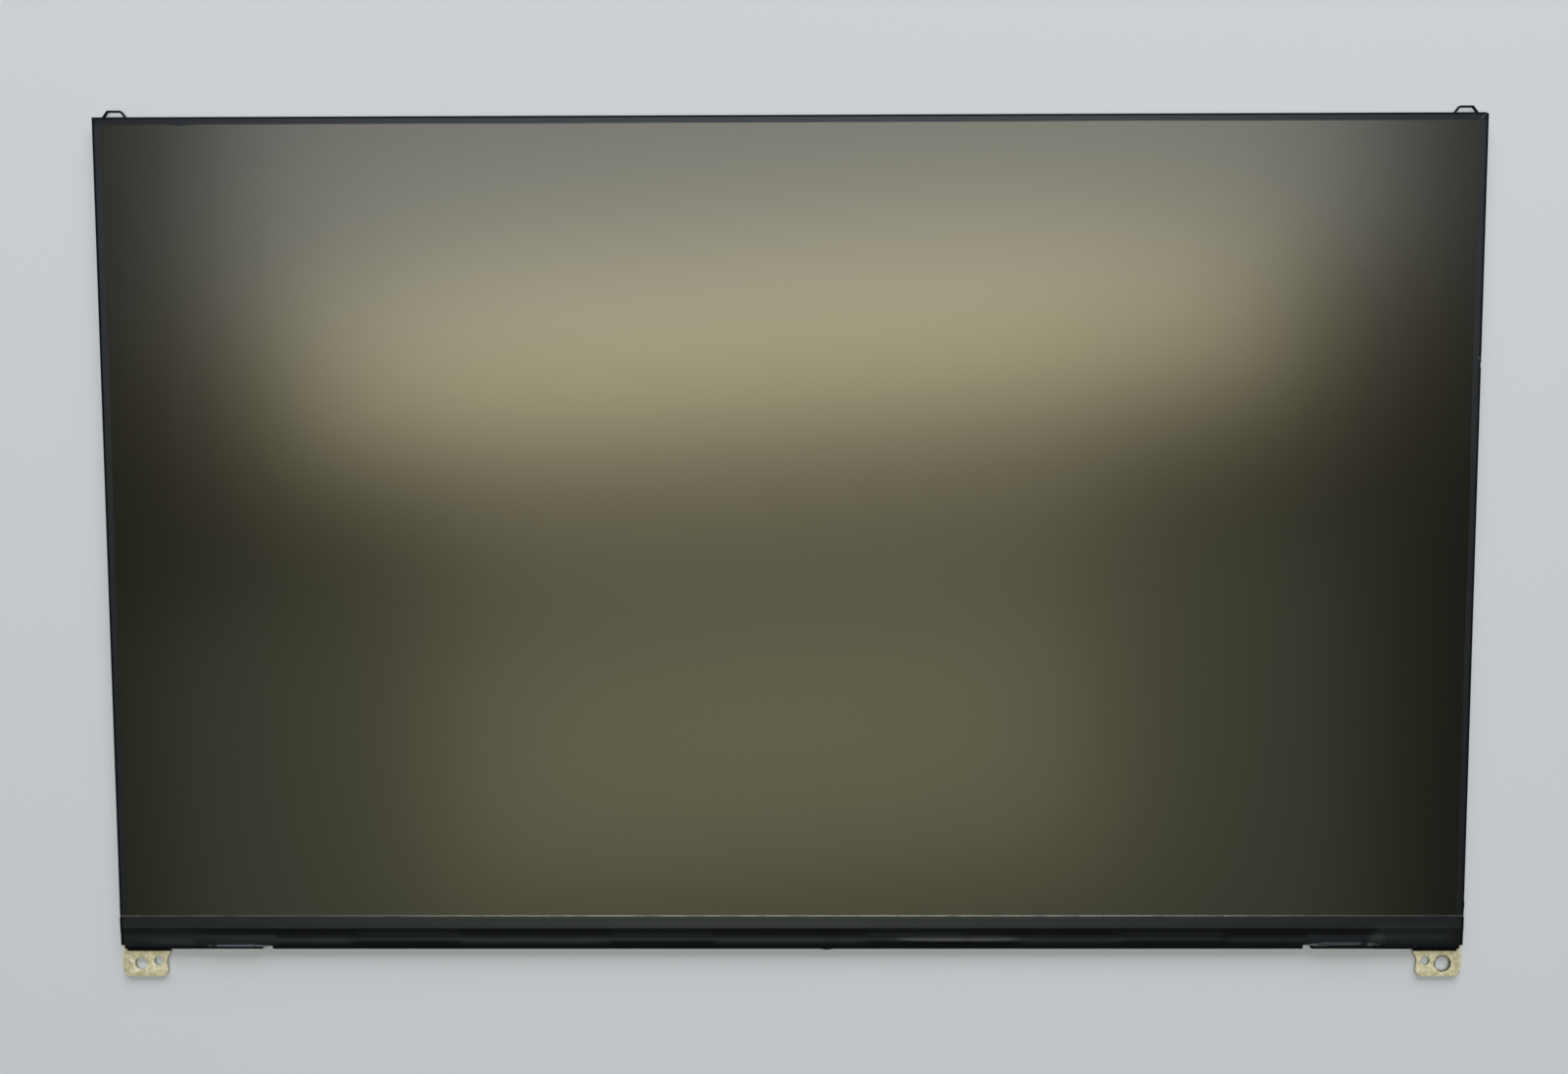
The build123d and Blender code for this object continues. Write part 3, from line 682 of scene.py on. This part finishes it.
# Edge tapes, each shaped as the middle of its film and thickened last
TAPE = 0.03  # thickness of the film
TAPE_EDGE = HALF_WIDTH - TAPE / 2
FRONT, REAR = SCREEN + TAPE / 2, 0.4 - TAPE / 2  # heights over the screen and under the back plate
FRONT_FOLD, REAR_FOLD = 0.40, 0.26  # radii of the folds
FRONT_STEPS, REAR_STEPS = 8, 6
EDGE_RIPPLE = (6.0, 0.012)  # grain and height
SIDE_INNER, SIDE_LOW, SIDE_HIGH, SIDE_FOOT = 156.0, FILM_LOW, 191.2, 1.1
SIDE_GRID = (5, 152)
WALL_SHOULDER = 2.3  # the side walls run on to the foot below this height
WALL_LEVELS = (FRONT - FRONT_FOLD, WALL_SHOULDER, 1.6, 1.0, REAR + REAR_FOLD)
HEM_STEP, HEM_STEPS = 1.41, 3  # reach of the side tapes under the back plate
TOP_LOW, TOP_HIGH, TOP_REAR = 191.25, 193.0 - TAPE / 2, 188.5


def side_held(x, y, z):
    """A test for the fold and the wall of a side tape."""
    return abs(x) > SIDE_INNER + 0.5


def top_held(x, y, z):
    """A test for the fold and the wall of the top tape."""
    return y > up(TOP_LOW + 0.5)


def fine_steps(start, end, step):
    """Even places from a start to an end, about a step apart."""
    count = round((end - start) / step)
    return [start + (end - start) * index / count for index in range(count + 1)]


def side_tape(name, side, extra_rows):
    """A side tape: over the screen's edge, down the wall and under the back plate."""
    bend = TAPE_EDGE - FRONT_FOLD
    sides = sorted((side * SIDE_INNER, side * bend))
    piece = flat_grid(name, *sides, up(SIDE_LOW), up(SIDE_HIGH), FRONT, *SIDE_GRID)
    for rise in extra_rows:
        cut((0.0, up(rise), 0.0), Y_AXIS)
    pick(piece, lambda x, y, z: abs(x) > bend - NEAR)
    fold((side * bend, 0.0, FRONT - FRONT_FOLD), Y_AXIS, 90.0 * side, FRONT_STEPS)
    for high, low in zip(WALL_LEVELS, WALL_LEVELS[1:]):
        pull((0.0, 0.0, low - high))
    fold((side * (TAPE_EDGE - REAR_FOLD), 0.0, REAR + REAR_FOLD), Y_AXIS, 90.0 * side, REAR_STEPS)
    for step in range(HEM_STEPS):
        pull((-side * HEM_STEP, 0.0, 0.0))
    pick(piece, lambda x, y, z: y < up(SIDE_LOW) + NEAR and z < WALL_SHOULDER + NEAR)
    pull((0.0, SIDE_FOOT - SIDE_LOW, 0.0))
    return piece


def wave_side(piece, side, *waves):
    """Lets the inner edge of a side tape wander at some rises, each with a shift and a reach."""
    for rise, shift, reach in waves:
        edge = near(side * SIDE_INNER, rise, 0.7, FRONT, 0.1)
        ease_inner_edge(piece, side_held, edge, (shift, 0.0, 0.0), reach)


def thicken(piece, grain, height):
    """Gives a shaped tape its slow ripples and its thickness."""
    bpy.ops.object.mode_set(mode="OBJECT")
    ripple(piece, grain, height)
    change(piece, "thickness", "SOLIDIFY", thickness=TAPE * MM, offset=0.0)


# Right tape: pinched into a crease above its middle, with a burr near its foot
CREASE_RIDGE = (
    (156.75, 138.85), (156.98, 138.45), (157.21, 138.05), (157.44, 137.65), (157.67, 137.25),
)
right_tape = side_tape("right_tape_folded", 1, fine_steps(134.5, 141.5, 0.2))
add_columns(fine_steps(156.4, 157.4, 0.15))
for across, rise in CREASE_RIDGE:
    ease(right_tape, near(across, rise, 0.14, FRONT, 0.25), (0.0, 0.0, 0.018), 0.30)
ease(right_tape, near(157.62, CREASE + 0.5, 0.25, FRONT, 0.3), (0.0, 0.0, -0.09), 0.6)
ease(right_tape, near(TAPE_EDGE, CREASE - 1.6, 0.3, 2.6, 0.2), (-0.14, 0.0, 0.0), 0.55)
ease(right_tape, near(TAPE_EDGE, 11.1, 0.5, 2.2, 0.3), (0.14, 0.0, 0.0), 0.8)
wave_side(right_tape, 1, (96.0, 0.15, 30.0), (145.0, -0.15, 30.0))
thicken(right_tape, *EDGE_RIPPLE)
hand_over(right_tape, "black_tape", "right_edge_tape")

# Left tape
left_tape = side_tape("left_tape_folded", -1, [])
wave_side(left_tape, -1, (131.0, 0.20, 34.0), (62.0, -0.10, 24.0))
thicken(left_tape, *EDGE_RIPPLE)
hand_over(left_tape, "black_tape", "left_edge_tape")

# Top tape: a cap over the top edge and both corners, slit for the hooks
HOOK_X, SLIT_HALF, SLIT_LOW, SLIT_HIGH = 153.3, 3.35, 0.70, 1.46
REAR_HALF = 153.35
CAP_ROWS = 4


def rear_hem(x, y, z):
    """A test for the cap's edge under the back plate, between the hooks."""
    return z < REAR + NEAR and y < up(TOP_LOW) + NEAR and abs(x) < REAR_HALF + NEAR


def hook_slit(x, y, z):
    """A test for the places on the top wall where the hooks come out."""
    beside_hook = abs(abs(x) - HOOK_X) < SLIT_HALF + NEAR
    return beside_hook and y > up(TOP_HIGH) - NEAR and SLIT_LOW - NEAR < z < SLIT_HIGH + NEAR


def wrinkled(x, y, z):
    """A test for the inner edge at the wrinkle."""
    return abs(x - WRINKLE) < 1.3 and y < up(TOP_LOW) + 0.1 and z > FRONT - 0.1


top_tape = flat_grid(
    "top_tape_folded", -TAPE_EDGE, TAPE_EDGE, up(TOP_LOW), up(TOP_HIGH), FRONT, 220, CAP_ROWS
)
for side in (-1, 1):
    add_columns(side * across for across in (REAR_HALF, HOOK_X - SLIT_HALF, HOOK_X + SLIT_HALF))
add_columns(fine_steps(-141.0, -134.0, 0.5))
pick(top_tape, lambda x, y, z: abs(x) > TAPE_EDGE - NEAR or y > up(TOP_HIGH) - NEAR)
follow([(0.0, FRONT), (0.0, SLIT_HIGH), (0.0, SLIT_LOW), (0.0, REAR)])
pick(top_tape, lambda x, y, z: z < REAR + NEAR and y > up(TOP_HIGH) - NEAR)
for row in range(CAP_ROWS):
    pull((0.0, (TOP_LOW - TOP_HIGH) / CAP_ROWS, 0.0))
pick(top_tape, rear_hem)
pull((0.0, TOP_REAR - TOP_LOW, 0.0))
bpy.ops.mesh.select_all(action="SELECT")
bpy.ops.mesh.remove_doubles(threshold=NEAR * MM)
pick(top_tape, hook_slit, "FACE")
bpy.ops.mesh.delete(type="FACE")
for side, round_off, segments in ((-1, 0.12, 2), (1, 1.0, 5)):
    pick(top_tape, lambda x, y, z: side * x > TAPE_EDGE - NEAR and y > up(TOP_HIGH) - NEAR)
    bpy.ops.mesh.bevel(offset=round_off * MM, segments=segments, affect="EDGES")
pick(top_tape, lambda x, y, z: z > FRONT - NEAR, sharp=60.0)
bpy.ops.mesh.bevel(offset=FRONT_FOLD * 0.9 * MM, segments=6, affect="EDGES")
pick(top_tape, lambda x, y, z: z < REAR + NEAR, sharp=60.0)
bpy.ops.mesh.bevel(offset=REAR_FOLD * MM, segments=4, affect="EDGES")
ease(top_tape, wrinkled, (0.0, -0.24, 0.012), 1.25)
for across, shift, reach in ((-60.0, -0.06, 22.0), (75.0, 0.07, 26.0)):
    edge = near(across, TOP_LOW, 1.0, FRONT, 0.1)
    ease_inner_edge(top_tape, top_held, edge, (0.0, shift, 0.0), reach)
thicken(top_tape, *EDGE_RIPPLE)
hand_over(top_tape, "black_tape", "top_edge_tape")

# Bottom tape: over the glass ledge, then in flaps round the bottom edge
STRIP_HIGH, STRIP_LOW, NOTCH = 7.85, 5.25, 0.9
STRIP = 2.71  # height of the flat strip beside the screen film
LEDGE_FACE = 2.2  # the ledge lies above this height, the walls below it
WALL = -0.22  # rise of the outer wall
FOOT, FOOT_END = 1.1 + TAPE / 2, -0.95  # height and rise of the ends on the tabs
ledge_path = [
    (STRIP_LOW, STRIP), (5.10, 2.706), (4.95, 2.688), (4.70, 2.650), (4.40, 2.608), (4.10, 2.568),
    (3.80, 2.532), (3.50, 2.506), (3.25, 2.493), (3.00, 2.486), (2.75, 2.481), (2.50, 2.476),
    (2.25, 2.470), (2.00, 2.463), (1.75, 2.454), (1.50, 2.443), (1.25, 2.429), (1.05, 2.415),
    (NOTCH, 2.402),
]
edge_path = [
    (NOTCH, 2.402), (0.66, 2.384), (0.42, 2.347), (0.18, 2.268), (0.00, 2.140),
    (-0.13, 1.960), (-0.20, 1.760), (WALL, 1.550),
]
CHIPS, CHIP_HALF = (-90.0, -30.0, 30.0, 90.0), 11.5
flaps = {
    "left_foot": (-157.1, -146.75),
    "left_short": (-146.55, -124.3),
    "middle": (-122.1, 120.5),
    "right": (122.8, 146.55),
    "right_foot": (146.75, 157.1),
}
bottom_tape = flat_grid(
    "bottom_tape_folded", -TAPE_EDGE, TAPE_EDGE, up(STRIP_LOW), up(STRIP_HIGH), STRIP, 180, 5
)
for ends in flaps.values():
    add_columns(ends)
add_columns(chip + end for chip in CHIPS for end in (-12.2, -11.4, 11.4, 12.2))
add_columns(fine_steps(-141.0, -125.0, 0.8))  # left lip
add_columns(fine_steps(123.8, 139.8, 0.8))  # right lip
add_columns(fine_steps(8.0, 9.2, 0.3))  # nub
pick(bottom_tape, lambda x, y, z: y < up(STRIP_LOW) + NEAR)
follow(ledge_path)


def row_end(left, right, height):
    """A test for the last row of a flap."""

    def test(x, y, z):
        inside = left - NEAR < x < right + NEAR
        return inside and abs(z - height) < NEAR and y < up(NOTCH) + NEAR

    return test


for name, (left, right) in flaps.items():
    pick(bottom_tape, row_end(left, right, edge_path[0][1]))
    follow(edge_path)
    if name in ("middle", "right"):
        follow([edge_path[-1], (WALL, 1.1), (WALL, REAR + REAR_FOLD)])
        fold((0.0, up(WALL + REAR_FOLD), REAR + REAR_FOLD), X_AXIS, 90.0, REAR_STEPS)
        follow([(WALL + REAR_FOLD, REAR), (1.6, REAR), (3.0, REAR)])
    elif name == "left_short":
        follow([edge_path[-1], (WALL, 1.36)])
for name, bend in (("left_foot", 0.36), ("right_foot", 0.20)):
    pick(bottom_tape, row_end(*flaps[name], edge_path[-1][1]))
    follow([edge_path[-1], (WALL, FOOT + bend)])
    fold((0.0, up(WALL - bend), FOOT + bend), X_AXIS, -90.0, REAR_STEPS)
    follow([(WALL - bend, FOOT), (-0.7, FOOT), (FOOT_END, FOOT)])
pick(bottom_tape, row_end(flaps["left_short"][1], flaps["middle"][0], edge_path[0][1]))
follow(edge_path[:2])


def swell(left, right, low, high, lift, reach, falloff="SMOOTH"):
    """Raises a stretch of the ledge."""

    def test(x, y, z):
        return left < x < right and up(low) < y < up(high) and z > LEDGE_FACE

    ease(bottom_tape, test, (0.0, 0.0, lift), reach, falloff)


# Over the driver chips, and a loose fold beside the third one
for chip in CHIPS:
    swell(chip - CHIP_HALF, chip + CHIP_HALF, 1.95, 3.3, 0.10, 1.65, "LINEAR")
for left, right in ((26.0, 54.0), (29.0, 52.0), (33.0, 49.0)):
    swell(left, right, 1.7, 2.1, 0.06, 0.95, "LINEAR")
# Soft swells towards both ends
swell(139.0, 155.0, 1.7, 2.1, 0.26, 4.5)
swell(-152.0, -142.0, 0.65, 1.1, 0.08, 1.5)

# Lips that stand open beside both notches: each is raised row by row, inside a crescent
LIP_ROWS = (2.00, 1.75, 1.50, 1.25, 1.05, 0.90, 0.66, 0.42)
LIP_SLOPE = 0.78


def raise_lip(middle, half, foot, crest):
    """Lifts a lip between the rises of its foot and its crest, given at its ends and its middle."""

    def share(x):
        return 1 - ((x - middle) / half) ** 2

    def level(ends, x):
        return ends[0] + (ends[1] - ends[0]) * share(x)

    for high, low in zip(LIP_ROWS, LIP_ROWS[1:]):

        def test(x, y, z):
            inside = abs(x - middle) < half and y < up(low) + NEAR and z > LEDGE_FACE
            return inside and level(crest, x) < (high + low) / 2 < level(foot, x)

        ease(bottom_tape, test, (0.0, 0.0, LIP_SLOPE * (high - low)), 0.1)


raise_lip(-131.0, 8.8, (0.62, 1.10), (0.60, 0.66))
raise_lip(130.3, 9.2, (0.80, 1.52), (0.75, 1.05))
# Nub on the bottom edge, and the slanted end of the right foot
ease(bottom_tape, near(8.6, -0.18, 0.45, 1.9, 0.35), (0.0, -0.22, 0.0), 0.7)
ease(bottom_tape, near(flaps["right_foot"][0], FOOT_END, 0.05, FOOT, 0.05), (0.55, 0.0, 0.0), 0.9)
thicken(bottom_tape, 5.0, 0.016)
hand_over(bottom_tape, "black_tape", "bottom_tape")


# Pieces copied from their solids, with their edges rounded
def rounded(name, node, slot, width, segments=3):
    """A copy of a solid with its sharp edges rounded off."""
    deselect()
    piece = nodes[node].copy()
    piece.data = nodes[node].data.copy()
    piece.name = name
    for mark in list(piece.keys()):  # the solid's own marks don't hold for its copy
        del piece[mark]
    piece.parent = None
    bpy.context.scene.collection.objects.link(piece)
    piece.select_set(True)
    bpy.context.view_layer.objects.active = piece
    bpy.ops.object.mode_set(mode="EDIT")
    bpy.ops.mesh.select_all(action="SELECT")
    bpy.ops.mesh.remove_doubles(threshold=0.0005 * MM)
    bpy.ops.mesh.dissolve_limited(angle_limit=math.radians(2.0))
    bpy.ops.object.mode_set(mode="OBJECT")
    change(
        piece, "rounding", "BEVEL",
        width=width * MM, segments=segments, limit_method="ANGLE", angle_limit=SHARP,
    )
    hand_over(piece, slot, node)


rounded("left_tab", "lower_bracket_left", "bracket_steel", 0.07)
rounded("right_tab", "lower_bracket_right", "bracket_steel", 0.07)
rounded("left_loop", "upper_hook_left", "hook_black", 0.08)
rounded("right_loop", "upper_hook_right", "hook_black", 0.08)
rounded("rivets", "bracket_rivets", "rivet_steel", 0.12)
rounded("video_shell", "video_socket_shell", "socket_steel", 0.03, 2)


# Light, with places and sizes in metres
TOP_LAMP_TURN = (0.0, 0.0, 0.07)
WINDOW_TURN = (math.radians(-63.0), 0.0, 0.0)


def soft_lamp(name, place, size, radiance, turn):
    """An even rectangular lamp whose face has the given brightness in each colour."""
    lamp = bpy.data.lights.new(name, "AREA")
    lamp.shape = "RECTANGLE"
    lamp.size, lamp.size_y = size
    peak = max(radiance)
    lamp.color = [part / peak for part in radiance]
    lamp.energy = peak * math.pi * size[0] * size[1]
    made = bpy.data.objects.new(name, lamp)
    made.location = place
    made.rotation_euler = turn
    bpy.context.scene.collection.objects.link(made)


for name, place, size, radiance in (
    ("warm_lamp", (-0.007, 0.143, 2.00), (1.466, 0.211), (7.14, 6.62, 4.92)),
    ("grey_lamp", (0.008, 0.441, 2.02), (1.739, 0.450), (3.45, 3.64, 4.31)),
    ("wide_low_lamp", (-0.054, -0.591, 2.04), (1.889, 0.779), (0.68, 0.74, 0.65)),
    ("middle_lamp", (-0.040, 0.045, 2.06), (1.007, 0.529), (1.10, 1.08, 0.86)),
    ("low_lamp", (-0.039, -0.497, 2.08), (1.030, 0.399), (1.60, 1.48, 1.04)),
):
    soft_lamp(name, place, size, radiance, TOP_LAMP_TURN)
soft_lamp("window_lamp", (0.30, 1.78, 0.91), (2.6, 1.4), (4.55, 4.36, 4.60), WINDOW_TURN)

# Room: dim for the panel, pale where the camera looks past the floor
world = bpy.data.worlds.new("room")
world.use_nodes = True
room = world.node_tree
dim = room.nodes["Background"]
dim.inputs["Color"].default_value = (0.03, 0.03, 0.031, 1.0)
pale = room.nodes.new("ShaderNodeBackground")
pale.inputs["Color"].default_value = (0.60, 0.64, 0.66, 1.0)
seen = room.nodes.new("ShaderNodeLightPath")
choice = room.nodes.new("ShaderNodeMixShader")
room.links.new(seen.outputs["Is Camera Ray"], choice.inputs[0])
room.links.new(dim.outputs[0], choice.inputs[1])
room.links.new(pale.outputs[0], choice.inputs[2])
room.links.new(choice.outputs[0], room.nodes["World Output"].inputs["Surface"])
bpy.context.scene.world = world


# Floor
FLOOR_SIZE = 2.2  # metres


def floor_paper():
    """Pale matte paper."""
    f = Finish("floor_paper")
    tint = f.noise(300.0, 2.0)
    fibre = f.noise(0.5)
    base = f.mix(tint, (0.590, 0.632, 0.660), (0.610, 0.652, 0.680))
    return f.done(base, 0.88 + 0.06 * fibre, 0.0, f.bump(fibre, 0.01))


deselect()
bpy.ops.mesh.primitive_plane_add(size=FLOOR_SIZE, location=(0.0, 0.0, 0.0))
floor = bpy.context.object
floor.name = "floor"
floor.data.materials.append(floor_paper())

# Camera
CAMERA_PLACE = (1.4061, 31.3240, 363.0888)
CAMERA_TURN = (-4.4155, 0.3964, -0.1396)
camera = bpy.data.objects.new("camera", bpy.data.cameras.new("camera"))
camera.data.sensor_width = 36.0
camera.data.lens = 36.0
camera.data.clip_start = 0.01
camera.location = scaled(CAMERA_PLACE)
camera.rotation_euler = [math.radians(turn) for turn in CAMERA_TURN]
bpy.context.scene.collection.objects.link(camera)
bpy.context.scene.camera = camera
bpy.context.scene.view_settings.view_transform = "Standard"
